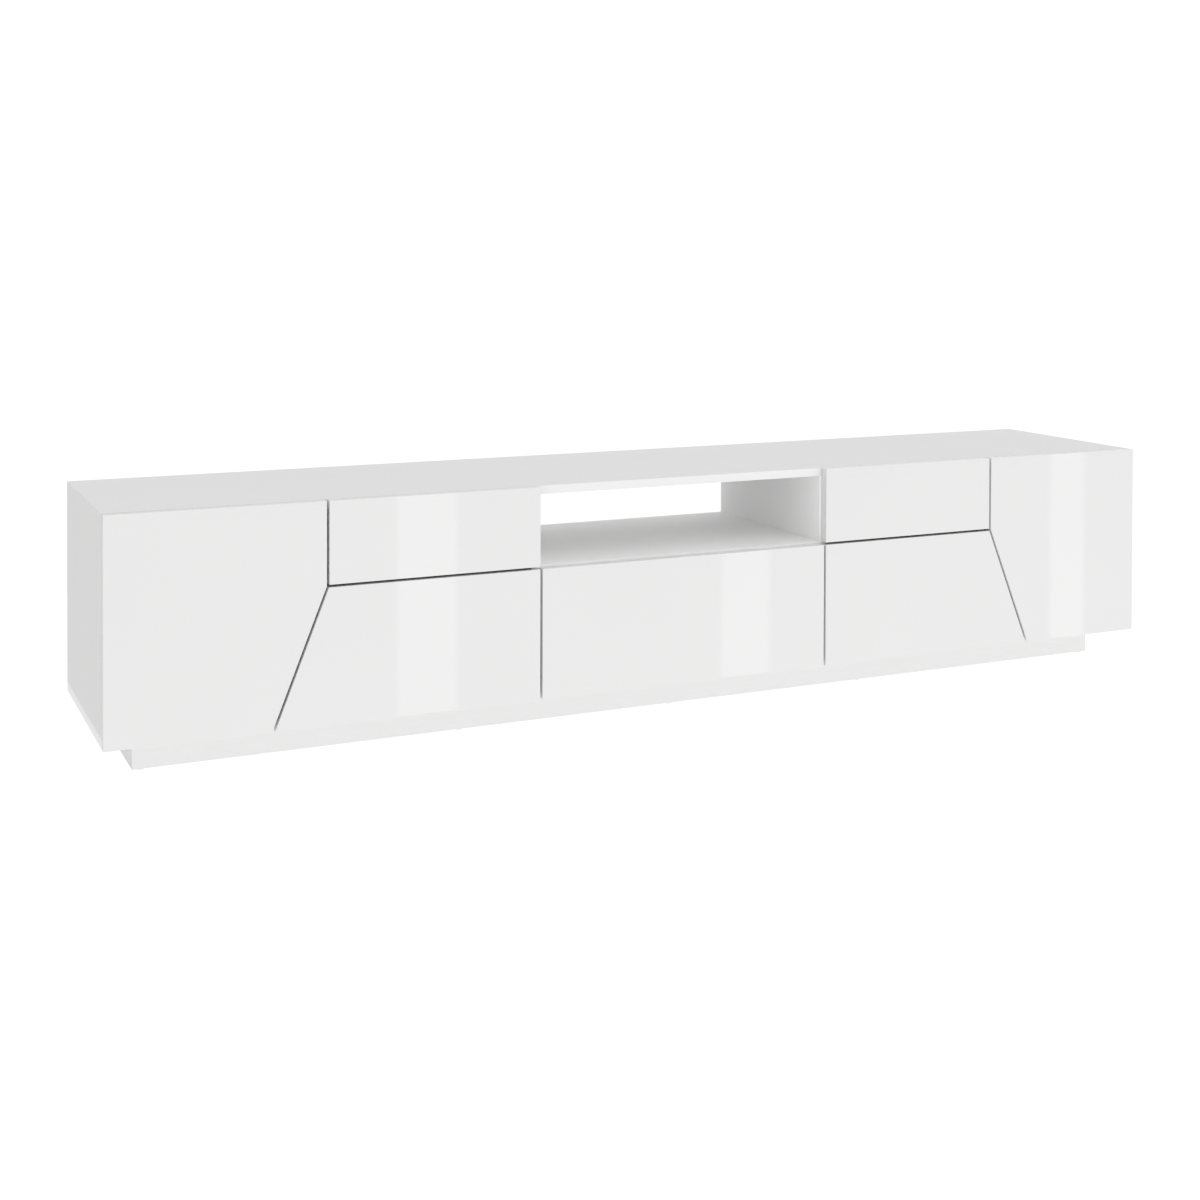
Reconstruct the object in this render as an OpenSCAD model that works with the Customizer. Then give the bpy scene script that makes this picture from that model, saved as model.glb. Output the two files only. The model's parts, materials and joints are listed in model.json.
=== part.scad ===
// Low television stand with a handle-less lacquered front. From each end: a hinged door whose
// inner edge slants away below the drawer, an upper drawer and a drop-down flap that follows
// the slant. In the middle: an open niche above a third flap. The body stands on a plinth.
// +X runs to the right, +Y to the back. The origin is the middle of the stand's base.

/* [Overall] */
// Width over both ends
total_w = 2200; // [2000:10:2600]
// Depth from the faces of the fronts to the back edges
total_d = 430; // [400:5:520]
// Height over the top, glides included
total_h = 458; // [430:2:560]

/* [Panels] */
// Thickness of the body's panels
panel_t = 16; // [15:1:19]
// Thickness of doors, flaps and drawer fronts
front_t = 16; // [15:1:19]
// Space between the backs of the fronts and the body
front_gap = 2; // [2:0.1:3]
// Thickness of the back panels and drawer bottoms
thin_t = 3; // [3:0.2:5]

/* [Front layout] */
// Width of the niche between its partitions
niche_w = 612; // [400:2:800]
// From the end to the middle of the seam beside the drawer
door_top_w = 385; // [330:1:430]
// From the end to the middle of the slanted seam, at the underside
door_bottom_w = 288; // [230:1:330]
// From the top down to the middle of the seam below the drawers
drawer_drop = 150.5; // [140:0.5:180]
// Width of the seams between fronts
seam = 4.6; // [3:0.1:6]
// How far the niche's shelf stands above the flap in front of it
shelf_step = 3.8; // [0:0.2:8]

/* [Inside] */
// How far the inner partitions stand back from the front edges
partition_recess = 20; // [10:1:40]
// Height of the loose shelves above the bottom panel
shelf_lift = 182; // [120:1:220]
// How far the loose shelves stand back from the front edges
shelf_recess = 48; // [45:1:90]
// Depth of the grooves that hold the thin panels
groove = 6; // [5:0.5:6]
// From the back edges to the back panels
back_inset = 10; // [8:1:16]

/* [Plinth] */
// Height of the plinth with its glides
plinth_h = 62; // [50:1:90]
// Set-back of the plinth behind the faces of the fronts
plinth_front_in = 80; // [60:1:110]
// Set-back of the plinth from each end
plinth_end_in = 60; // [30:1:100]
// Set-back of the plinth from the back edges
plinth_back_in = 20; // [0:1:60]
// Thickness of the glides
glide_t = 2; // [2:0.5:5]
// Diameter of the glides
glide_d = 14; // [10:1:15]

/* [Drawers] */
// Space between a drawer box and the back panel
drawer_room = 50; // [20:5:150]
// Height of the drawer box
drawer_h = 90; // [70:1:95]
// Thickness of the drawer box's boards
drawer_t = 12; // [12:1:16]
// Height of the drawer box above the seam below it
drawer_lift = 18; // [14:1:30]
// Thickness of one closed runner
runner_t = 12.7; // [12.7:0.1:14]
// Height of a runner
runner_h = 45; // [35:1:46]

/* [Hinges] */
// Diameter of the hinge cups
cup_d = 35; // [35:1:35]
// Depth of the hinge cups
cup_depth = 11.5; // [11:0.5:12]
// From the edge of a front to the edge of its cups
cup_tab = 3; // [3:0.1:4]
// Diameter of the hinge pins
pin_d = 3; // [2.5:0.1:3.2]
// From the door's ends to its hinges
door_hinge_in = 80; // [70:1:110]
// From the flap openings' ends to the flap hinges
flap_hinge_in = 75; // [60:1:120]

/* [Fittings] */
// Diameter of the dowels
dowel_d = 8; // [6:1:10]
// Length of the dowels
dowel_len = 30; // [24:1:35]
// Diameter of the cam discs
cam_d = 15; // [12:1:15]
// From a panel's end to the middle of its cams
cam_in = 34; // [24:1:34]
// Diameter of the shelf pins
shelf_pin_d = 5; // [5:1:6]
// Diameter of the push latches' plungers
plunger_d = 8; // [6:1:9]
// Length of the push latches
latch_len = 70; // [50:1:80]

/* [Hidden] */
$fn = 48;
// Clearances
slide_clear = 0.1;
pin_clear = 0.05;
touch_clear = 0.3;
eps = 0.01;

// Main planes
x_end = -total_w / 2;
y_face = -total_d / 2;
y_front_back = y_face + front_t;
y_carcass = y_front_back + front_gap;
y_back = total_d / 2;
y_thin = y_back - back_inset - thin_t;
y_inside = y_thin - touch_clear;
z_body = plinth_h;
z_floor = z_body + panel_t;
z_ceiling = total_h - panel_t;
z_seam = total_h - drawer_drop;

// Left-hand uprights, each by its outer face, and the places of the fixings along them
x_inner = x_end + door_top_w - panel_t;
x_niche = -niche_w / 2 - panel_t;
z_shelf = z_seam - seam / 2 + shelf_step - panel_t;
cam_y = [y_carcass + 60, y_back - 60];
dowel_y = [cam_y[0] + 32, cam_y[1] - 32];
bolt_d = 6;
thread_d = 5;
thread_len = 11;
cam_h = 12;

// Seam beside the door: the slant's run, and how wide half a seam is along X on the slant
slant_run = door_top_w - door_bottom_w;
slant_rise = z_seam - z_body;
slant_half = seam / 2 * norm([slant_run, slant_rise]) / slant_rise;

// Hinge, in a section across its pins: x from the body's outer face, y from the front's back
cup_x = cup_tab + cup_d / 2;
cup_wall = 1;
cup_pin = [9, -2];
arm_pin = [32.7, 7.2];
link_bend = [17, -5.6];
link_w = 9.6;
link_r = 2.9;
ear_t = 2.4;
ear_gap = touch_clear;
arm_w = link_w + 2 * (ear_gap + ear_t);
arm_x = [panel_t + 6, panel_t + 18];
arm_y = [22, 62];
plate_y = 37;
hinge_screw_gap = 32;

// Latches
latch_w = 12;
latch_front = y_carcass + 2;
plunger_tip = y_front_back + touch_clear;
door_latch_x = x_inner - 26;
flap_latch_z = z_seam - 36;

// Drawers
drawer_depth = y_inside - drawer_room - y_front_back;
drawer_x = [x_inner + panel_t + runner_t, x_niche - runner_t];
drawer_z = z_seam + drawer_lift;
drawer_bottom_z = drawer_z + 10;
runner_z = drawer_z + drawer_h / 2;
runner_wall = 1.2;
runner_y = [y_carcass + 2, y_front_back + drawer_depth];

door_hinge_z = [z_body + door_hinge_in, total_h - door_hinge_in];
side_flap_x = [x_inner + panel_t + flap_hinge_in, x_niche - flap_hinge_in];
centre_flap_x = [-niche_w / 2 + flap_hinge_in, niche_w / 2 - flap_hinge_in];
brace_x = [-total_w / 5, 0, total_w / 5];
plinth_x = x_end + plinth_end_in;
plinth_y = [y_face + plinth_front_in, y_back - plinth_back_in];

white = "#f4f4f2";
melamine = "#e9e9e6";
steel = "#b9bcc0";

// ---- Helpers ----

// Box between two corners
module slab(low, high) {
    translate(low) cube(high - low);
}

// Round bar from a point along an axis given as rotation angles
module bar(at, angles, d, h) {
    translate(at) rotate(angles) cylinder(d = d, h = h);
}

along_x = [0, 90, 0];
along_y = [-90, 0, 0];
along_z = [0, 0, 0];

// The right-hand copy of a left-hand piece
module right_hand() {
    mirror([1, 0, 0]) children();
}

module both_hands() {
    children();
    right_hand() children();
}

// Straight strip between two points of a section
module strip(a, b, width) {
    across = [a[1] - b[1], b[0] - a[0]] * (width / 2 / norm(b - a));
    polygon([a + across, a - across, b - across, b + across]);
}

// ---- Body ----

// Holes in the top or bottom panel for the uprights' bolts and dowels, along +Z from z
module upright_holes(z, deeper) {
    for (x = [x_end, x_inner, x_niche] + [1, 1, 1] * panel_t / 2)
        both_hands() {
            for (y = cam_y)
                bar([x, y, z - eps * deeper], deeper > 0 ? along_z : [180, 0, 0],
                    thread_d + 2 * slide_clear, thread_len + slide_clear);
            for (y = dowel_y)
                bar([x, y, z - eps * deeper], deeper > 0 ? along_z : [180, 0, 0],
                    dowel_d + 2 * slide_clear, dowel_len / 2 - 4 + slide_clear);
        }
}

// One thin back panel, grown by a clearance, between two uprights and two levels
module back_sheet(x, z, grow = 0) {
    reach = groove - 1 + grow;
    slab([x[0] - reach, y_thin - grow / 10, z[0] - reach],
         [x[1] + reach, y_thin + thin_t + grow / 10, z[1] + reach]);
}

side_bay = [x_end + panel_t, x_niche];
centre_bay = [-niche_w / 2, niche_w / 2];

module side_back_sheet(grow = 0) {
    back_sheet(side_bay, [z_floor, z_ceiling], grow);
}

module centre_back_sheet(grow = 0) {
    back_sheet(centre_bay, [z_floor, z_shelf], grow);
}

module all_grooves() {
    both_hands() side_back_sheet(1);
    centre_back_sheet(1);
}

module top_panel() {
    color(white) difference() {
        slab([x_end, y_carcass, z_ceiling], [-x_end, y_back, total_h]);
        all_grooves();
        upright_holes(z_ceiling, 1);
    }
}

module bottom_panel() {
    color(melamine) difference() {
        slab([x_end, y_carcass, z_body], [-x_end, y_back, z_floor]);
        all_grooves();
        upright_holes(z_floor, -1);
    }
}

// Upright between bottom and top with its bores; its cams open on the face that side gives
module upright(x, y0, y1, side) {
    middle = x + panel_t / 2;
    face = side > 0 ? x + panel_t : x;
    difference() {
        slab([x, y0, z_floor], [x + panel_t, y1, z_ceiling]);
        for (y = cam_y) {
            bar([middle, y, z_floor - eps], along_z, bolt_d + 2 * slide_clear, cam_in);
            bar([middle, y, z_ceiling - cam_in + eps], along_z, bolt_d + 2 * slide_clear, cam_in);
            for (z = [z_floor + cam_in, z_ceiling - cam_in])
                bar([face + side * eps, y, z], [0, -90 * side, 0],
                    cam_d + 2 * slide_clear, cam_h + slide_clear);
        }
        for (y = dowel_y) {
            bar([middle, y, z_floor - eps], along_z,
                dowel_d + 2 * slide_clear, dowel_len / 2 + 4 + slide_clear);
            bar([middle, y, z_ceiling - dowel_len / 2 - 4 - slide_clear + eps], along_z,
                dowel_d + 2 * slide_clear, dowel_len / 2 + 4 + slide_clear);
        }
        all_grooves();
    }
}

module shelf_pin_bars(clear = 0) {
    y_pins = [y_carcass + shelf_recess + 40, y_inside - 50];
    z = z_floor + shelf_lift - shelf_pin_d / 2;
    for (y = y_pins) {
        bar([x_end + panel_t - 8 - clear, y, z], along_x,
            shelf_pin_d + 2 * clear, 16 + clear);
        bar([x_inner - 8, y, z], along_x, shelf_pin_d + 2 * clear, 16 + clear);
    }
}

module side_upright() {
    color(white) difference() {
        upright(x_end, y_carcass, y_back, 1);
        shelf_pin_bars(pin_clear);
    }
}

module inner_partition() {
    color(melamine) difference() {
        upright(x_inner, y_carcass + partition_recess, y_inside, -1);
        shelf_pin_bars(pin_clear);
    }
}

module niche_partition() {
    color(melamine) difference() {
        upright(x_niche, y_carcass, y_back, -1);
        shelf_bolts(slide_clear);
        shelf_dowels(slide_clear);
    }
}

// Bolts and dowels between the niche partitions and the niche shelf
module shelf_bolts(clear = 0) {
    z = z_shelf + panel_t / 2;
    for (y = cam_y) {
        bar([x_niche + panel_t - thread_len - clear, y, z], along_x,
            thread_d + 2 * clear, thread_len + 1);
        bar([x_niche + panel_t, y, z], along_x, bolt_d + 2 * clear, cam_in - cam_d / 2 - 0.5);
    }
}

module shelf_dowels(clear = 0) {
    z = z_shelf + panel_t / 2;
    for (y = dowel_y)
        bar([x_niche + panel_t - dowel_len / 2 + 4 - clear, y, z], along_x,
            dowel_d + 2 * clear, dowel_len + 2 * clear);
}

module shelf_cams(clear = 0) {
    for (y = cam_y)
        bar([x_niche + panel_t + cam_in, y, z_shelf - (clear > 0 ? eps : 0)], along_z,
            cam_d + 2 * clear, cam_h + clear);
}

module niche_shelf() {
    color(melamine) difference() {
        slab([-niche_w / 2, y_carcass, z_shelf], [niche_w / 2, y_back, z_shelf + panel_t]);
        centre_back_sheet(1);
        both_hands() {
            shelf_bolts(slide_clear);
            shelf_dowels(slide_clear);
            shelf_cams(slide_clear);
        }
    }
}

module side_back_panel() {
    color(melamine) side_back_sheet();
}

module centre_back_panel() {
    color(melamine) centre_back_sheet();
}

module loose_shelf() {
    z = z_floor + shelf_lift;
    color(melamine)
        slab([x_end + panel_t + 1, y_carcass + shelf_recess, z],
             [x_inner - 1, y_inside, z + panel_t]);
}

module shelf_pins() {
    color(steel) both_hands() shelf_pin_bars();
}

module dowels() {
    color("burlywood") both_hands() {
        for (x = [x_end, x_inner, x_niche] + [1, 1, 1] * panel_t / 2, y = dowel_y) {
            bar([x, y, z_floor - dowel_len / 2 + 4], along_z, dowel_d, dowel_len);
            bar([x, y, z_ceiling - dowel_len / 2 - 4], along_z, dowel_d, dowel_len);
        }
        shelf_dowels();
    }
}

module cam_bolts() {
    shank = cam_in - cam_d / 2 - 0.5;
    color(steel) both_hands() {
        for (x = [x_end, x_inner, x_niche] + [1, 1, 1] * panel_t / 2, y = cam_y) {
            bar([x, y, z_floor], along_z, bolt_d, shank);
            bar([x, y, z_floor - thread_len], along_z, thread_d, thread_len + 1);
            bar([x, y, z_ceiling - shank], along_z, bolt_d, shank);
            bar([x, y, z_ceiling - 1], along_z, thread_d, thread_len + 1);
        }
        shelf_bolts();
    }
}

// A row of cams on one face of an upright
module upright_cams(face, side) {
    for (y = cam_y, z = [z_floor + cam_in, z_ceiling - cam_in])
        bar([face, y, z], [0, -90 * side, 0], cam_d, cam_h);
}

module cam_discs() {
    color(steel) both_hands() {
        upright_cams(x_end + panel_t, 1);
        upright_cams(x_inner, -1);
        upright_cams(x_niche, -1);
        shelf_cams();
    }
}

// ---- Plinth ----

module plinth_board(y) {
    slab([plinth_x, y, glide_t], [-plinth_x, y + panel_t, plinth_h]);
}

module plinth_front() {
    color(white) plinth_board(plinth_y[0]);
}

module plinth_back() {
    color(white) plinth_board(plinth_y[1] - panel_t);
}

// Board across the plinth between its front and back
module plinth_cross(x) {
    slab([x, plinth_y[0] + panel_t, glide_t], [x + panel_t, plinth_y[1] - panel_t, plinth_h]);
}

module plinth_ends() {
    color(white) both_hands() plinth_cross(plinth_x);
}

module plinth_braces() {
    color(melamine) for (x = brace_x) plinth_cross(x - panel_t / 2);
}

// Corner blocks that hold the plinth to the bottom panel
module plinth_blocks() {
    size = 20;
    color("dimgray") for (x = brace_x, y = [plinth_y[0] + panel_t, plinth_y[1] - panel_t - size])
        slab([x + panel_t / 2, y, plinth_h - size], [x + panel_t / 2 + 2 * size, y + size, plinth_h]);
}

module plinth_glides() {
    color("whitesmoke") for (x = [plinth_x + panel_t, each brace_x, -plinth_x - panel_t],
                             y = [plinth_y[0] + panel_t / 2, plinth_y[1] - panel_t / 2])
        bar([x, y, 0], along_z, glide_d, glide_t);
}

// ---- Hinges ----

// Places a hinge section on the door's ends or on a flap's lower edge
module at_door_hinges() {
    for (z = door_hinge_z) translate([x_end, y_front_back, z]) children();
}

module at_flap_hinges(places) {
    for (x = places) translate([x, y_front_back, z_body]) rotate([0, -90, 0]) children();
}

module cup_pocket() {
    bar([cup_x, -cup_depth - slide_clear, 0], along_y, cup_d + 2 * slide_clear,
        cup_depth + 2 * slide_clear);
}

// Cup with its flange, two screws and the pin across its mouth
module hinge_cup() {
    ear_x = cup_x + 5.5;
    inner_d = cup_d - 2 * cup_wall;
    difference() {
        union() {
            bar([cup_x, -cup_depth, 0], along_y, cup_d, cup_depth);
            bar([cup_x, 0, 0], along_y, cup_d + 2, 1);
            slab([ear_x - 6, 0, -24], [ear_x + 6, 1, 24]);
            for (z = [-24, 24]) {
                bar([ear_x, 0, z], along_y, 12, 1);
                bar([ear_x, 1, z], along_y, 7.5, 1.4);
            }
        }
        bar([cup_x, cup_wall - cup_depth, 0], along_y, inner_d, cup_depth + 1);
    }
    pin_reach = sqrt(pow(inner_d / 2, 2) - pow(cup_x - cup_pin[0], 2)) + cup_wall / 2;
    translate([cup_pin[0], cup_pin[1], -pin_reach]) cylinder(d = pin_d, h = 2 * pin_reach);
}

// Cranked link from the arm's pin to the cup's pin
module hinge_link() {
    difference() {
        translate([0, 0, -link_w / 2]) linear_extrude(link_w) {
            translate(cup_pin) circle(r = link_r);
            translate(link_bend) circle(r = link_r - 0.4);
            translate(arm_pin) circle(r = link_r + 0.3);
            strip(cup_pin, link_bend, 2 * link_r - 0.8);
            strip(link_bend, arm_pin, 2 * link_r - 0.8);
        }
        translate([cup_pin[0], cup_pin[1], -link_w]) cylinder(d = pin_d + 2 * pin_clear, h = 2 * link_w);
    }
    translate([arm_pin[0], arm_pin[1], -arm_w / 2]) cylinder(d = pin_d, h = arm_w);
}

// Fixed arm with two ears for the link's pin
module hinge_arm() {
    slab([arm_x[0], arm_y[0], -arm_w / 2], [arm_x[1], arm_y[1], arm_w / 2]);
    root = [arm_x[1] - 5, arm_y[0] + 3];
    for (z = [-arm_w / 2, arm_w / 2 - ear_t])
        translate([0, 0, z]) difference() {
            linear_extrude(ear_t) {
                translate(arm_pin) circle(r = 4);
                strip(arm_pin, root, 8);
            }
            translate([arm_pin[0], arm_pin[1], -1])
                cylinder(d = pin_d + 2 * pin_clear, h = ear_t + 2);
        }
}

// Mounting plate with its wings and screw heads
module hinge_plate() {
    slab([panel_t, arm_y[0] + 6, -8], [arm_x[0], arm_y[1] - 1, 8]);
    slab([panel_t, plate_y - 6, -22], [panel_t + 2.5, plate_y + 6, 22]);
    for (z = [-1, 1] * hinge_screw_gap / 2)
        bar([panel_t + 2.5, plate_y, z], along_x, 8, 1.5);
}

module at_all_hinges() {
    both_hands() {
        at_door_hinges() children();
        at_flap_hinges(side_flap_x) children();
    }
    at_flap_hinges(centre_flap_x) children();
}

module hinge_plates() {
    color(steel) at_all_hinges() hinge_plate();
}

module hinge_arms() {
    color(steel) at_all_hinges() hinge_arm();
}

// ---- Fronts ----

// Upright slab of a front from its outline in X and Z
module front_slab(outline) {
    translate([0, y_front_back, 0]) rotate([90, 0, 0]) linear_extrude(front_t) polygon(outline);
}

module door() {
    top_x = x_end + door_top_w;
    half = seam / 2;
    corner_z = z_seam + (slant_half - half) * slant_rise / slant_run;
    color(white) difference() {
        front_slab([
            [x_end, z_body], [x_end + door_bottom_w - slant_half, z_body],
            [top_x - half, corner_z], [top_x - half, total_h], [x_end, total_h]
        ]);
        at_door_hinges() cup_pocket();
    }
}

module door_cups() {
    color(steel) at_door_hinges() hinge_cup();
}

module door_links() {
    color(steel) at_door_hinges() hinge_link();
}

// Bevel behind a flap's lower slanted corner, which clears the door's edge once the flap is down
module flap_relief() {
    slope = slant_run / slant_rise;
    back_x = x_end + door_bottom_w - slant_half + slope * panel_t + 2 * touch_clear;
    translate([0, 0, z_body - 1]) linear_extrude(front_t)
        polygon([[x_end, y_front_back + 1], [back_x + slope, y_front_back + 1],
                 [back_x - slope * front_t, y_face], [x_end, y_face]]);
}

module side_flap() {
    half = seam / 2;
    inner_x = x_niche + panel_t - seam;
    color(white) difference() {
        front_slab([
            [x_end + door_bottom_w + slant_half, z_body], [inner_x, z_body],
            [inner_x, z_seam - half],
            [x_end + door_top_w + slant_half - half * slant_run / slant_rise, z_seam - half]
        ]);
        at_flap_hinges(side_flap_x) cup_pocket();
        flap_relief();
    }
}

module centre_flap() {
    color(white) difference() {
        slab([-niche_w / 2, y_face, z_body], [niche_w / 2, y_front_back, z_seam - seam / 2]);
        at_flap_hinges(centre_flap_x) cup_pocket();
    }
}

module flap_cups(places) {
    color(steel) at_flap_hinges(places) hinge_cup();
}

module flap_links(places) {
    color(steel) at_flap_hinges(places) hinge_link();
}

// ---- Push latches ----

// Latch housing around a plunger's line at x and z
module latch(x, z) {
    difference() {
        slab([x - latch_w / 2, latch_front, z - latch_w / 2],
             [x + latch_w / 2, latch_front + latch_len, z + latch_w / 2]);
        bar([x, latch_front - eps, z], along_y, plunger_d + 2 * pin_clear, latch_len - 10);
    }
}

// Plunger with its magnet tip against the back of the front
module plunger(x, z) {
    color("dimgray") bar([x, plunger_tip, z], along_y, plunger_d, latch_len - 18);
}

door_latch = [door_latch_x, z_ceiling - latch_w / 2];
side_flap_latch = [x_niche - latch_w / 2, flap_latch_z];
centre_flap_latch = [0, z_shelf - latch_w / 2];

module latch_bodies() {
    color("lightgray") {
        both_hands() {
            latch(door_latch[0], door_latch[1]);
            latch(side_flap_latch[0], side_flap_latch[1]);
        }
        latch(centre_flap_latch[0], centre_flap_latch[1]);
    }
}

// ---- Drawers ----

module drawer_floor(clear = 0) {
    reach = groove - 1 + clear;
    slab([drawer_x[0] + drawer_t - reach, y_front_back - reach, drawer_bottom_z - clear / 10],
         [drawer_x[1] - drawer_t + reach, y_front_back + drawer_depth - drawer_t + reach,
          drawer_bottom_z + thin_t + clear / 10]);
}

module drawer_front() {
    half = seam / 2;
    color(white) difference() {
        slab([x_end + door_top_w + half, y_face, z_seam + half],
             [x_niche + panel_t - seam, y_front_back, total_h]);
        drawer_floor(1);
    }
}

module drawer_sides() {
    color(melamine) difference() {
        for (x = [drawer_x[0], drawer_x[1] - drawer_t])
            slab([x, y_front_back, drawer_z],
                 [x + drawer_t, y_front_back + drawer_depth, drawer_z + drawer_h]);
        drawer_floor(1);
    }
}

module drawer_back() {
    color(melamine) difference() {
        slab([drawer_x[0] + drawer_t, y_front_back + drawer_depth - drawer_t, drawer_z],
             [drawer_x[1] - drawer_t, y_front_back + drawer_depth, drawer_z + drawer_h]);
        drawer_floor(1);
    }
}

module drawer_bottom() {
    color(melamine) drawer_floor();
}

// Channel along Y, opening towards +X, between two X planes; height over all and flange thickness
module channel(x, height, flange, y) {
    difference() {
        slab([x[0], y[0], runner_z - height / 2], [x[1], y[1], runner_z + height / 2]);
        slab([x[0] + runner_wall, y[0] - 1, runner_z - height / 2 + flange],
             [x[1] + 1, y[1] + 1, runner_z + height / 2 - flange]);
    }
}

// A pair of rails, one on each side of the left drawer; the child is the left one of the pair
module rail_pair() {
    middle = (drawer_x[0] + drawer_x[1]) / 2;
    children();
    translate([2 * middle, 0, 0]) mirror([1, 0, 0]) children();
}

runner_x = drawer_x[0] - runner_t;
mid_h = runner_h - 2 * (runner_wall + touch_clear);
inner_h = 0.6 * mid_h;

module outer_rails() {
    rail_pair() channel([runner_x, runner_x + runner_t - 3], runner_h, runner_wall, runner_y);
}

module mid_rails() {
    first = runner_x + runner_wall + touch_clear;
    flange = (mid_h - inner_h) / 2 - touch_clear;
    color(steel) rail_pair()
        channel([first, runner_x + runner_t - 1.5], mid_h, flange, runner_y - [0, 4]);
}

module inner_rails() {
    first = runner_x + 2 * (runner_wall + touch_clear);
    color(steel) rail_pair() difference() {
        slab([first, runner_y[0], runner_z - inner_h / 2],
             [runner_x + runner_t, runner_y[1], runner_z + inner_h / 2]);
        slab([first - 1, runner_y[0] - 1, runner_z - inner_h / 2 + runner_wall],
             [runner_x + runner_t - runner_wall, runner_y[1] + 1,
              runner_z + inner_h / 2 - runner_wall]);
    }
}

module runner_outer_rails() {
    color(steel) both_hands() outer_rails();
}

// ---- Nodes ----

top_panel();
bottom_panel();
side_upright();  // left_side
right_hand() side_upright();  // right_side
inner_partition();  // left_inner_partition
right_hand() inner_partition();  // right_inner_partition
niche_partition();  // left_niche_partition
right_hand() niche_partition();  // right_niche_partition
niche_shelf();
side_back_panel();  // left_back_panel
centre_back_panel();
right_hand() side_back_panel();  // right_back_panel
loose_shelf();  // left_loose_shelf
right_hand() loose_shelf();  // right_loose_shelf
shelf_pins();
plinth_front();
plinth_back();
plinth_ends();
plinth_braces();
plinth_blocks();
plinth_glides();
dowels();
cam_bolts();
cam_discs();
hinge_plates();
hinge_arms();
latch_bodies();
runner_outer_rails();
door();  // left_door
door_cups();  // left_door_cups
door_links();  // left_door_links
plunger(door_latch[0], door_latch[1]);  // left_door_plunger
right_hand() door();  // right_door
right_hand() door_cups();  // right_door_cups
right_hand() door_links();  // right_door_links
right_hand() plunger(door_latch[0], door_latch[1]);  // right_door_plunger
side_flap();  // left_flap
flap_cups(side_flap_x);  // left_flap_cups
flap_links(side_flap_x);  // left_flap_links
plunger(side_flap_latch[0], side_flap_latch[1]);  // left_flap_plunger
centre_flap();
flap_cups(centre_flap_x);  // centre_flap_cups
flap_links(centre_flap_x);  // centre_flap_links
plunger(centre_flap_latch[0], centre_flap_latch[1]);  // centre_flap_plunger
right_hand() side_flap();  // right_flap
right_hand() flap_cups(side_flap_x);  // right_flap_cups
right_hand() flap_links(side_flap_x);  // right_flap_links
right_hand() plunger(side_flap_latch[0], side_flap_latch[1]);  // right_flap_plunger
drawer_front();  // left_drawer_front
drawer_sides();  // left_drawer_sides
drawer_back();  // left_drawer_back
drawer_bottom();  // left_drawer_bottom
mid_rails();  // left_runner_mid_rails
inner_rails();  // left_runner_inner_rails
right_hand() drawer_front();  // right_drawer_front
right_hand() drawer_sides();  // right_drawer_sides
right_hand() drawer_back();  // right_drawer_back
right_hand() drawer_bottom();  // right_drawer_bottom
right_hand() mid_rails();  // right_runner_mid_rails
right_hand() inner_rails();  // right_runner_inner_rails
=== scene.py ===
"""Looks of a low television stand: gloss white fronts on a matt white body, with its fittings inside.

Metres, in the frame's own axes: +X to the right, +Y to the back, +Z up, the floor at 0.
"""

import json
import math
from functools import partial

import bpy
from mathutils import Euler, Matrix, Vector


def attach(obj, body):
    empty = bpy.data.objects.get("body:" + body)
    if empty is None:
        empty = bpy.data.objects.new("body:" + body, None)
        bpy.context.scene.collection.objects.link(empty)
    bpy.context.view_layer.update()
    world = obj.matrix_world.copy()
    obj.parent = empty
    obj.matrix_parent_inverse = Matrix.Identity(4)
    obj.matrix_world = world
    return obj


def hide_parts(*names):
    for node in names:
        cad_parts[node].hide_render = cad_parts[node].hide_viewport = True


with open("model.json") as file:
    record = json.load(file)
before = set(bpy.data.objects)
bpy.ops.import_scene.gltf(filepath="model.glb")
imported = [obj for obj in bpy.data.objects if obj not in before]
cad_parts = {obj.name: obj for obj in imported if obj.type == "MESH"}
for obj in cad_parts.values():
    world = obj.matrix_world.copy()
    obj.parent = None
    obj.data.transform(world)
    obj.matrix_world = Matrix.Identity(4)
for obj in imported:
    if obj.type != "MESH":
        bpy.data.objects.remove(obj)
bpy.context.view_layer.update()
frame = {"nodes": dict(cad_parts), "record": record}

MM = 0.001
BODY_OF = {node: body for body, nodes in frame["record"]["behaviour"]["bodies"].items() for node in nodes}
SLOT_OF = {part["node"]: part["material_slot"] for part in frame["record"]["subparts"]}

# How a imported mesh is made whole: vertices closer than this are one, and so are faces this flat
MERGE_WITHIN = 0.002 * MM
FLAT_WITHIN = math.radians(0.3)

# Rounding of a board's edges, and the steps in it, by the board's finish
BOARD_EDGES = {
    "gloss_lacquer": (0.3 * MM, 3),
    "matt_white": (0.5 * MM, 3),
    "plinth_board": (0.5 * MM, 2),
    "melamine": (0.4 * MM, 2),
    "hardboard": (0.4 * MM, 1),
}
FITTING_EDGE = (0.3 * MM, 2)
SHARP_EDGE = math.radians(35)

# A face points along an axis when their product is over this
SAME_WAY = 0.9

# Screws of a hinge plate: behind its front edge, apart, and above the panel
PLATE_SCREW_BACK = 9 * MM
PLATE_SCREW_APART = 32 * MM
PLATE_SCREW_TOP = 4 * MM

# Screws of a hinge cup: apart, and from the rim's edge that is nearer the panel
CUP_SCREW_APART = 48 * MM
CUP_SCREW_FROM_RIM = 24 * MM

# Screws of a hinge arm: behind its front end. Its flat top is lower than its nose round the pin
ARM_SCREW_BACK = (30 * MM, 46 * MM)
ARM_TOP = 12 * MM

# The head of an arm's screw
SCREW_HEAD = 6 * MM
SCREW_HEIGHT = 1.6 * MM
SCREW_CROWN = 0.5 * MM
SCREW_RECESS_AT = 0.9 * MM
SCREW_EDGE = (0.06 * MM, 1)

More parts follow.
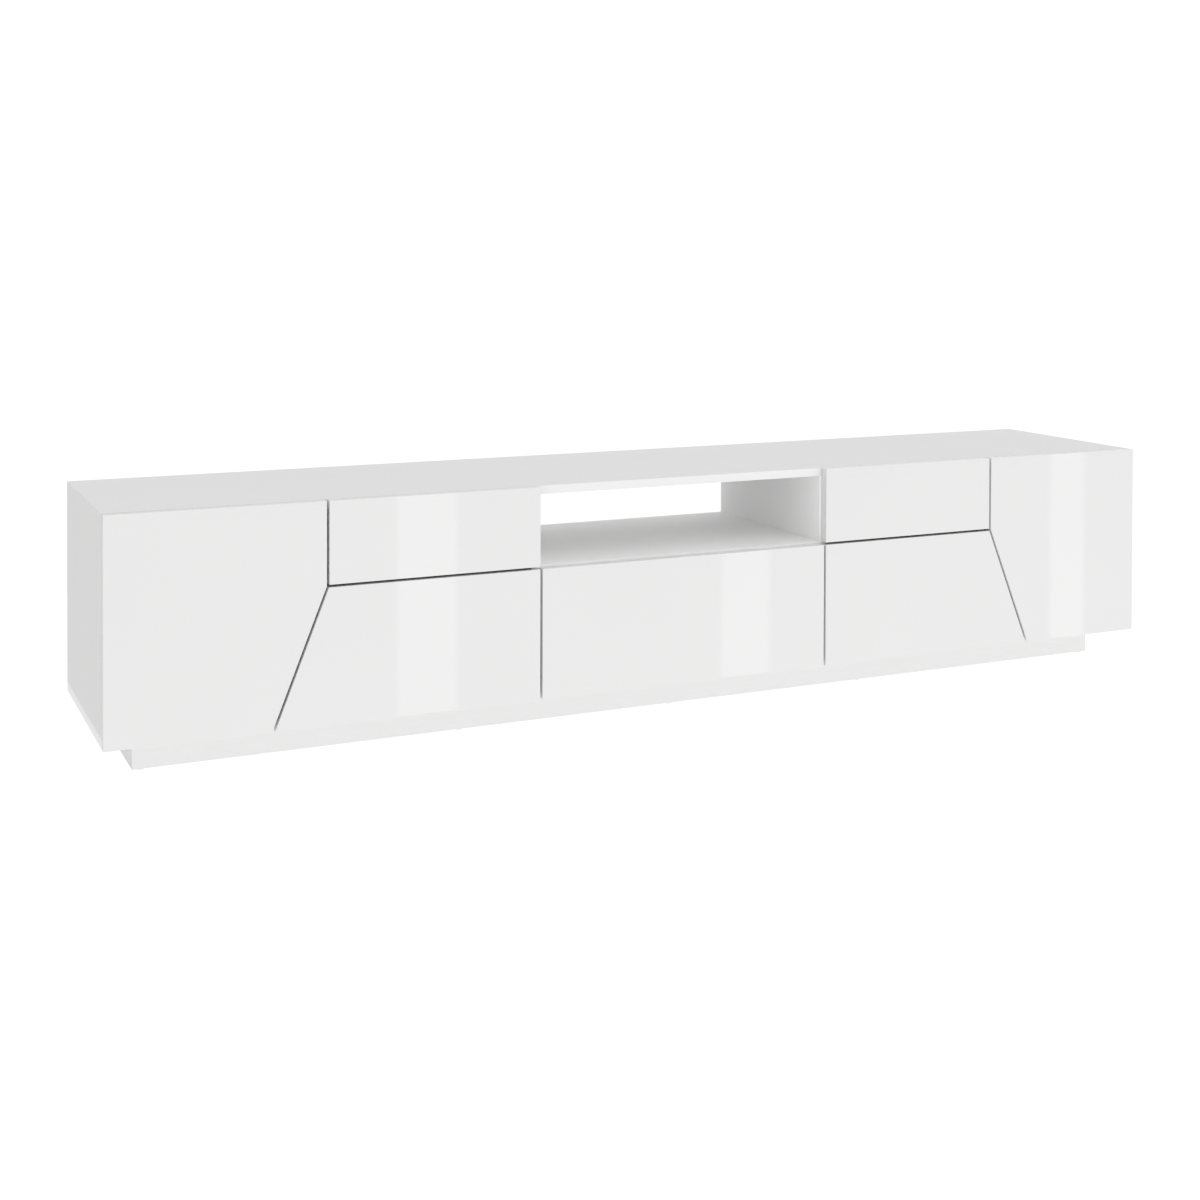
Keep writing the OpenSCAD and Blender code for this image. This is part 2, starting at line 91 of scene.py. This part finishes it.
# The cross-shaped recess of a screw, and how much larger a cam disc's is
CROSS_SPAN = 3.6 * MM
CROSS_WIDTH = 0.8 * MM
CROSS_DEPTH = 1.0 * MM
CAM_CROSS = 1.9

# Door hinges stand farther out from the middle than this
DOOR_HINGES_PAST = 1.0


# ---- Finishes ----


class Socket:
    """A node's output that takes part in Python arithmetic by adding Math nodes."""

    def __init__(self, finish, output):
        self.finish = finish
        self.output = output

    def math(self, operation, first, second):
        return self.finish.node("ShaderNodeMath", {"operation": operation}, {0: first, 1: second})

    def __add__(self, other):
        return self.math("ADD", self, other)

    def __radd__(self, other):
        return self.math("ADD", other, self)

    def __sub__(self, other):
        return self.math("SUBTRACT", self, other)

    def __rsub__(self, other):
        return self.math("SUBTRACT", other, self)

    def __mul__(self, other):
        return self.math("MULTIPLY", self, other)

    def __rmul__(self, other):
        return self.math("MULTIPLY", other, self)


class Finish:
    """One procedural finish, in a material's tree or the world's."""

    def __init__(self, owner):
        owner.use_nodes = True
        self.owner = owner
        self.tree = owner.node_tree
        self.tree.nodes.clear()

    def node(self, kind, settings=None, sockets=None, output=0):
        """Adds a node, with its settings first and then its sockets' values or links."""
        made = self.tree.nodes.new(kind)
        for name, value in (settings or {}).items():
            setattr(made, name, value)
        for name, value in (sockets or {}).items():
            if isinstance(value, Socket):
                self.tree.links.new(value.output, made.inputs[name])
            else:
                made.inputs[name].default_value = value
        return Socket(self, made.outputs[output]) if made.outputs else made

    def place(self, stretch=(1, 1, 1)):
        """Object coordinates, stretched along each axis."""
        here = self.node("ShaderNodeTexCoord", output="Object")
        return self.node("ShaderNodeMapping", sockets={"Vector": here, "Scale": stretch})

    def noise(self, per_metre, detail=2.0, stretch=(1, 1, 1), rough=0.5):
        sockets = {"Vector": self.place(stretch), "Scale": per_metre, "Detail": detail, "Roughness": rough}
        return self.node("ShaderNodeTexNoise", sockets=sockets)

    def tint(self, amount, low, high):
        """A colour between low and high."""
        # The sockets of a Mix node share their names, so they go by place
        factor, first, second, colour = 0, 6, 7, 2
        sockets = {factor: amount, first: (*low, 1), second: (*high, 1)}
        return self.node("ShaderNodeMix", {"data_type": "RGBA"}, sockets, output=colour)

    def bump(self, height, depth, strength=1.0):
        sockets = {"Height": height, "Distance": depth, "Strength": strength}
        return self.node("ShaderNodeBump", sockets=sockets)

    def close(self, **sockets):
        """Ends the finish in a Principled shader with these sockets, named as base_color for Base Color."""
        named = {}
        for name, value in sockets.items():
            named[name.replace("_", " ").title().replace("Ior", "IOR")] = value
        shader = self.node("ShaderNodeBsdfPrincipled", sockets=named)
        self.node("ShaderNodeOutputMaterial", sockets={"Surface": shader})
        return self.owner


def new_finish(name):
    return Finish(bpy.data.materials.new(name))


def gloss_lacquer():
    """Polished lacquer: a faint orange peel under a clear gloss."""
    f = new_finish("gloss_lacquer")
    cloud = f.noise(3.0, 2.0)
    peel = f.noise(170.0, 2.0)
    haze = f.noise(24.0, 4.0)
    return f.close(
        base_color=f.tint(cloud, (0.748, 0.748, 0.746), (0.768, 0.768, 0.766)),
        roughness=haze * 0.03 + 0.012,
        normal=f.bump(peel, 0.000006),
        ior=1.5,
    )


def matt_white():
    """Matt white foil with a fine leathery grain."""
    f = new_finish("matt_white")
    cloud = f.noise(4.0, 3.0)
    grain = f.noise(1500.0, 3.0)
    return f.close(
        base_color=f.tint(cloud, (0.80, 0.80, 0.798), (0.82, 0.82, 0.818)),
        roughness=grain * 0.12 + 0.55,
        normal=f.bump(grain, 0.00003, 0.6),
        specular_ior_level=0.04,
    )


def plinth_board():
    """Satin white board with soft clouds in its tone and gloss."""
    f = new_finish("plinth_board")
    cloud = f.noise(7.0, 4.0)
    grain = f.noise(1100.0, 2.0)
    return f.close(
        base_color=f.tint(cloud, (0.738, 0.738, 0.736), (0.758, 0.758, 0.756)),
        roughness=cloud * 0.15 + 0.45,
        normal=f.bump(grain, 0.00003, 0.5),
        specular_ior_level=0.15,
    )


def melamine():
    """White melamine with the pearl grain of its press plate."""
    f = new_finish("melamine")
    pearl = f.noise(900.0, 3.0, rough=0.6)
    cloud = f.noise(5.0, 2.0)
    return f.close(
        base_color=f.tint(cloud, (0.935, 0.935, 0.933), (0.95, 0.95, 0.948)),
        roughness=pearl * 0.15 + 0.5,
        normal=f.bump(pearl, 0.00005, 0.6),
        specular_ior_level=0.15,
    )


def hardboard():
    """Printed white foil on thin fibreboard."""
    f = new_finish("hardboard")
    fibre = f.noise(420.0, 5.0, stretch=(1, 1, 0.35), rough=0.65)
    return f.close(
        base_color=f.tint(fibre, (0.745, 0.742, 0.73), (0.80, 0.798, 0.788)),
        roughness=fibre * 0.12 + 0.45,
        normal=f.bump(fibre, 0.00005, 0.6),
    )


def beech():
    """Raw turned beech with short dark flecks along the grain."""
    f = new_finish("beech")
    rings = f.noise(260.0, 4.0, stretch=(1, 1, 0.1))
    return f.close(
        base_color=f.tint(rings, (0.50, 0.33, 0.19), (0.68, 0.50, 0.32)),
        roughness=rings * 0.2 + 0.55,
        normal=f.bump(rings, 0.0001, 0.6),
    )


def plated_steel(name, dark, light, gloss, brush):
    """Plated sheet: faint rolling lines and a mottled sheen. brush stretches the lines along an axis."""
    f = new_finish(name)
    lines = f.noise(700.0, 3.0, stretch=brush)
    mottle = f.noise(130.0, 4.0, rough=0.6)
    return f.close(
        base_color=f.tint(mottle, dark, light),
        metallic=1.0,
        roughness=lines * 0.14 + gloss,
        normal=f.bump(lines, 0.00002, 0.5),
    )


def zinc_fittings():
    return plated_steel("zinc_fittings", (0.50, 0.50, 0.51), (0.66, 0.66, 0.68), 0.30, (1, 1, 1))


def zinc_runners():
    return plated_steel("zinc_runners", (0.56, 0.58, 0.60), (0.70, 0.72, 0.75), 0.22, (1, 0.04, 1))


def nickel_hinges():
    return plated_steel("nickel_hinges", (0.60, 0.57, 0.53), (0.74, 0.72, 0.68), 0.14, (1, 0.08, 1))


def moulded(name, dark, light, gloss):
    """Moulded plastic with a fine spark-eroded grain."""
    f = new_finish(name)
    grain = f.noise(2200.0, 2.0)
    cloud = f.noise(60.0, 2.0)
    return f.close(
        base_color=f.tint(cloud, dark, light),
        roughness=grain * 0.15 + gloss,
        normal=f.bump(grain, 0.00004, 0.7),
    )


def grey_plastic():
    return moulded("grey_plastic", (0.34, 0.35, 0.36), (0.39, 0.40, 0.41), 0.42)


def white_plastic():
    return moulded("white_plastic", (0.78, 0.78, 0.775), (0.82, 0.82, 0.815), 0.4)


def black_plastic():
    return moulded("black_plastic", (0.018, 0.018, 0.020), (0.030, 0.030, 0.033), 0.38)


FINISHES = {
    make.__name__: make()
    for make in (
        gloss_lacquer,
        matt_white,
        plinth_board,
        melamine,
        hardboard,
        beech,
        zinc_fittings,
        zinc_runners,
        nickel_hinges,
        white_plastic,
        grey_plastic,
        black_plastic,
    )
}


# ---- Modelling helpers ----


def only(*objects):
    """Selects these objects and nothing else, with the first one active."""
    bpy.ops.object.select_all(action="DESELECT")
    for obj in objects:
        obj.select_set(True)
    bpy.context.view_layer.objects.active = objects[0]


def apply_place(obj):
    """Puts an object's place into its mesh."""
    only(obj)
    bpy.ops.object.transform_apply(location=True, rotation=True, scale=True)


def apply_modifier(obj, kind, **settings):
    only(obj)
    modifier = obj.modifiers.new(kind.lower(), kind)
    for name, value in settings.items():
        setattr(modifier, name, value)
    bpy.ops.object.modifier_apply(modifier=modifier.name)


def soften(obj, width, segments):
    """Rounds the sharp edges and keeps the flats flat."""
    only(obj)
    bpy.ops.object.shade_smooth()
    apply_modifier(
        obj,
        "BEVEL",
        width=width,
        segments=segments,
        limit_method="ANGLE",
        angle_limit=SHARP_EDGE,
        use_clamp_overlap=True,
    )
    apply_modifier(obj, "WEIGHTED_NORMAL", mode="FACE_AREA", weight=100)


def copy_node(node):
    """A merged copy of a node's mesh, with its flat faces whole, as a new piece."""
    piece = bpy.data.objects.new(node + "_finished", frame["nodes"][node].data.copy())
    bpy.context.scene.collection.objects.link(piece)
    piece.data.materials.clear()
    only(piece)
    bpy.ops.object.mode_set(mode="EDIT")
    bpy.ops.mesh.select_all(action="SELECT")
    bpy.ops.mesh.remove_doubles(threshold=MERGE_WITHIN)
    bpy.ops.mesh.dissolve_limited(angle_limit=FLAT_WITHIN)
    bpy.ops.object.mode_set(mode="OBJECT")
    return piece


def finish_piece(piece, node):
    """Gives a piece the node's finish and lets it ride with the node's body."""
    slot = SLOT_OF[node]
    piece.data.materials.clear()
    piece.data.materials.append(FINISHES[slot])
    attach(piece, BODY_OF[node])


def islands(obj):
    """The lowest and highest corner of each loose part of a merged mesh."""
    mesh = obj.data
    root = list(range(len(mesh.vertices)))

    def find(i):
        while root[i] != i:
            root[i] = root[root[i]]
            i = root[i]
        return i

    for edge in mesh.edges:
        root[find(edge.vertices[0])] = find(edge.vertices[1])
    groups = {}
    for vertex in mesh.vertices:
        groups.setdefault(find(vertex.index), []).append(vertex.co)
    return [
        (Vector([min(c[i] for c in cs) for i in range(3)]), Vector([max(c[i] for c in cs) for i in range(3)]))
        for cs in groups.values()
    ]


def edit_faces(obj, wanted):
    """Enters edit mode with just the wanted faces selected."""
    only(obj)
    bpy.ops.object.mode_set(mode="EDIT")
    bpy.ops.mesh.select_mode(type="FACE")
    bpy.ops.mesh.select_all(action="DESELECT")
    bpy.ops.object.mode_set(mode="OBJECT")
    for face in obj.data.polygons:
        face.select = wanted(face)
    bpy.ops.object.mode_set(mode="EDIT")


def faces_along(face, way, within=math.inf):
    """Whether a face points that way and isn't farther out than this."""
    return face.normal.dot(way) > SAME_WAY and face.center.dot(way) < within


def cross_cutter():
    """A plus-shaped prism, standing on the origin's plane along Z, for screw recesses."""
    bpy.ops.mesh.primitive_cube_add(size=1, location=(0, 0, 0))
    cutter = bpy.context.object
    cutter.name = "cross_cutter"
    cutter.scale = (CROSS_WIDTH, CROSS_WIDTH, 2 * CROSS_DEPTH)
    apply_place(cutter)
    arm = (CROSS_SPAN - CROSS_WIDTH) / 2
    for way in (Vector((1, 0, 0)), Vector((-1, 0, 0)), Vector((0, 1, 0)), Vector((0, -1, 0))):
        # An arm's own sides face the other ways too, so only faces near the middle count
        edit_faces(cutter, partial(faces_along, way=way, within=CROSS_WIDTH))
        bpy.ops.mesh.extrude_region_move(TRANSFORM_OT_translate={"value": way * arm})
        bpy.ops.object.mode_set(mode="OBJECT")
    return cutter


def facing(place, axis, scale=1.0):
    """The matrix that puts a Z-axis model at a place, pointing along an axis."""
    turn = Vector((0, 0, 1)).rotation_difference(Vector(axis)).to_matrix().to_4x4()
    return Matrix.Translation(place) @ turn @ Matrix.Scale(scale, 4)


def spread(model, matrices, name):
    """Copies of a model, one per matrix, joined into one object. The model is used up."""
    copies = []
    for matrix in matrices:
        copy = bpy.data.objects.new(name, model.data.copy())
        bpy.context.scene.collection.objects.link(copy)
        copy.data.transform(matrix)
        copies.append(copy)
    bpy.data.objects.remove(model)
    only(*copies)
    bpy.ops.object.join()
    return copies[0]


def carve(piece, cutter):
    """Cuts the cutter out of the piece and drops it."""
    apply_modifier(piece, "BOOLEAN", operation="DIFFERENCE", solver="EXACT", object=cutter)
    bpy.data.objects.remove(cutter)


# ---- Boards ----


def make_boards():
    """Every board and panel with softened edges."""
    for node, slot in SLOT_OF.items():
        if slot not in BOARD_EDGES:
            continue
        piece = copy_node(node)
        soften(piece, *BOARD_EDGES[slot])
        finish_piece(piece, node)
        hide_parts(node)


# ---- Fittings ----


def is_door_hinge(low, high):
    """Door hinges stand on the end panels; the others lie on the bottom panel."""
    return abs(low.x + high.x) / 2 > DOOR_HINGES_PAST


def hinge_axes(low, high):
    """Away from the panel, and along the pins, for the hinge fitting in this box."""
    if is_door_hinge(low, high):
        return Vector((-1 if low.x > 0 else 1, 0, 0)), Vector((0, 0, 1))
    return Vector((0, 0, 1)), Vector((1, 0, 0))


def side_of(low, high, direction):
    """The middle of a box's face in that direction."""
    middle = (low + high) / 2
    reach = sum(abs(direction[i]) * (high[i] - low[i]) / 2 for i in range(3))
    return middle + direction * reach


def plate_crosses(low, high):
    """A cross in each screw of a hinge plate."""
    away, along = hinge_axes(low, high)
    foot = side_of(low, high, -away) + away * PLATE_SCREW_TOP
    foot.y = low.y + PLATE_SCREW_BACK
    return [facing(foot + along * side * PLATE_SCREW_APART / 2, away) for side in (-1, 1)]


def cup_crosses(low, high):
    """A cross in each screw of a hinge cup."""
    away, along = hinge_axes(low, high)
    middle = side_of(low, high, -away) + away * CUP_SCREW_FROM_RIM
    middle.y = high.y
    return [facing(middle + along * side * CUP_SCREW_APART / 2, (0, 1, 0)) for side in (-1, 1)]


def cam_crosses(low, high):
    """A cross on both ends of a cam disc, larger than a screw's."""
    thin = min(range(3), key=lambda i: high[i] - low[i])
    axis = Vector([1 if i == thin else 0 for i in range(3)])
    return [facing(side_of(low, high, axis * side), axis * side, CAM_CROSS) for side in (-1, 1)]


def make_fitting(node, crosses=None):
    """A metal or plastic fitting with softened edges and, where it has screws, their recesses."""
    piece = copy_node(node)
    if crosses:
        matrices = [m for box in islands(piece) for m in crosses(*box)]
        carve(piece, spread(cross_cutter(), matrices, "crosses"))
    soften(piece, *FITTING_EDGE)
    finish_piece(piece, node)
    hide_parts(node)


def screw_model():
    """Raised screw head with a cross recess, half of its height above the origin's plane."""
    bpy.ops.mesh.primitive_cylinder_add(
        vertices=32,
        radius=SCREW_HEAD / 2,
        depth=SCREW_HEIGHT,
        location=(0, 0, 0),
    )
    screw = bpy.context.object
    edit_faces(screw, partial(faces_along, way=Vector((0, 0, 1))))
    bpy.ops.mesh.bevel(offset=SCREW_CROWN, segments=3, affect="EDGES")
    bpy.ops.object.mode_set(mode="OBJECT")
    cutter = cross_cutter()
    cutter.location.z = SCREW_RECESS_AT
    apply_place(cutter)
    carve(screw, cutter)
    soften(screw, *SCREW_EDGE)
    return screw


def make_arm_screws():
    """The two adjusting screws on top of each hinge arm."""
    arms = copy_node("hinge_arms")
    matrices = []
    for low, high in islands(arms):
        away, _ = hinge_axes(low, high)
        top = side_of(low, high, -away) + away * ARM_TOP
        for back in ARM_SCREW_BACK:
            seat = top.copy()
            seat.y = low.y + back
            matrices.append(facing(seat, away))
    bpy.data.objects.remove(arms)
    screws = spread(screw_model(), matrices, "hinge_arm_screws")
    finish_piece(screws, "hinge_arms")


def make_fittings():
    """Every hinge, runner, latch, dowel, pin and other fitting."""
    crossed = {"hinge_plates": plate_crosses, "cam_discs": cam_crosses}
    for node, slot in SLOT_OF.items():
        if slot in BOARD_EDGES:
            continue
        crosses = cup_crosses if node.endswith("_cups") else crossed.get(node)
        make_fitting(node, crosses)
    make_arm_screws()


make_boards()
make_fittings()


# ---- Studio ----


def unlit_by(*objects):
    """The camera sees these, and the light passes through them."""
    for obj in objects:
        obj.visible_diffuse = False
        obj.visible_glossy = False
        obj.visible_transmission = False
        obj.visible_shadow = False


def make_floor():
    """A pale floor that glows a little, as a light table does."""
    bpy.ops.mesh.primitive_plane_add(size=90, location=(0, 0, 0))
    floor = bpy.context.object
    floor.name = "studio_floor"
    f = new_finish("studio_floor")
    speck = f.noise(3.0, 2.0)
    floor.data.materials.append(
        f.close(
            base_color=f.tint(speck, (0.29, 0.29, 0.29), (0.31, 0.31, 0.31)),
            roughness=0.9,
            specular_ior_level=0.0,
            emission_color=(1, 1, 1, 1),
            emission_strength=0.78,
        )
    )
    unlit_by(floor)


def make_backdrop():
    """A plain white backdrop all round."""
    bpy.ops.mesh.primitive_uv_sphere_add(segments=48, ring_count=24, radius=44, location=(0, 0, 0))
    backdrop = bpy.context.object
    backdrop.name = "studio_backdrop"
    f = new_finish("studio_backdrop")
    glow = f.node("ShaderNodeEmission", sockets={"Color": (1, 1, 1, 1), "Strength": 1.05})
    f.node("ShaderNodeOutputMaterial", sockets={"Surface": glow})
    backdrop.data.materials.append(f.owner)
    unlit_by(backdrop)


def positive_part(value):
    """The value, or 0 where it is negative."""
    return value.math("MAXIMUM", value, 0.0)


def make_sky():
    """Soft light from all round: more from above and a bright floor, less from behind and both sides."""
    world = bpy.data.worlds.new("studio")
    bpy.context.scene.world = world
    f = Finish(world)
    direction = f.node("ShaderNodeTexCoord", output="Generated")
    x, y, z = (f.node("ShaderNodeSeparateXYZ", sockets={"Vector": direction}, output=axis) for axis in "XYZ")
    above = positive_part(z)
    below = positive_part(0.0 - z)
    far_right = positive_part(x - 0.6)
    strength = 0.756 + x * 0.18 - y * 0.12 + z * 0.24 + x * y * 0.27 - y * above * 0.2 + below
    strength = strength - far_right * 0.65
    light = f.node("ShaderNodeBackground", sockets={"Color": (1, 1, 1, 1), "Strength": strength})
    f.node("ShaderNodeOutputWorld", sockets={"Surface": light})


def make_strip(name, middle_x, width):
    """A tall narrow softbox far in front of the stand, for a band of gloss on the fronts."""
    middle_y, middle_z, height, radiance = -5.0, 0.3, 5.0, 1.15
    data = bpy.data.lights.new(name, "AREA")
    data.shape = "RECTANGLE"
    data.size, data.size_y = width, height
    data.energy = radiance * math.pi * width * height
    strip = bpy.data.objects.new(name, data)
    strip.location = (middle_x, middle_y, middle_z)
    strip.rotation_euler = (math.radians(90), 0, 0)
    strip.visible_camera = False
    bpy.context.scene.collection.objects.link(strip)


def make_camera():
    """Three metres in front of the left end, at twice the stand's height, turned to the right."""
    data = bpy.data.cameras.new("camera")
    data.lens = 51.724
    data.sensor_width = 36
    data.shift_y = -0.2818
    data.clip_end = 200
    camera = bpy.data.objects.new("camera", data)
    camera.location = (-1.5484, -3.1565, 0.9292)
    turn_right, lean_down, roll = 0.43239, 0.01657, 0.00273
    level = Euler((math.pi / 2 - lean_down, 0, -turn_right)).to_matrix()
    camera.rotation_euler = (level @ Matrix.Rotation(roll, 3, "Z")).to_euler()
    bpy.context.scene.collection.objects.link(camera)
    bpy.context.scene.camera = camera


make_floor()
make_backdrop()
make_sky()
make_strip("strip_left", 1.1215, 0.30)
make_strip("strip_middle", 2.850, 0.28)
make_strip("strip_right", 4.934, 0.24)
make_camera()
bpy.context.scene.view_settings.view_transform = "Standard"
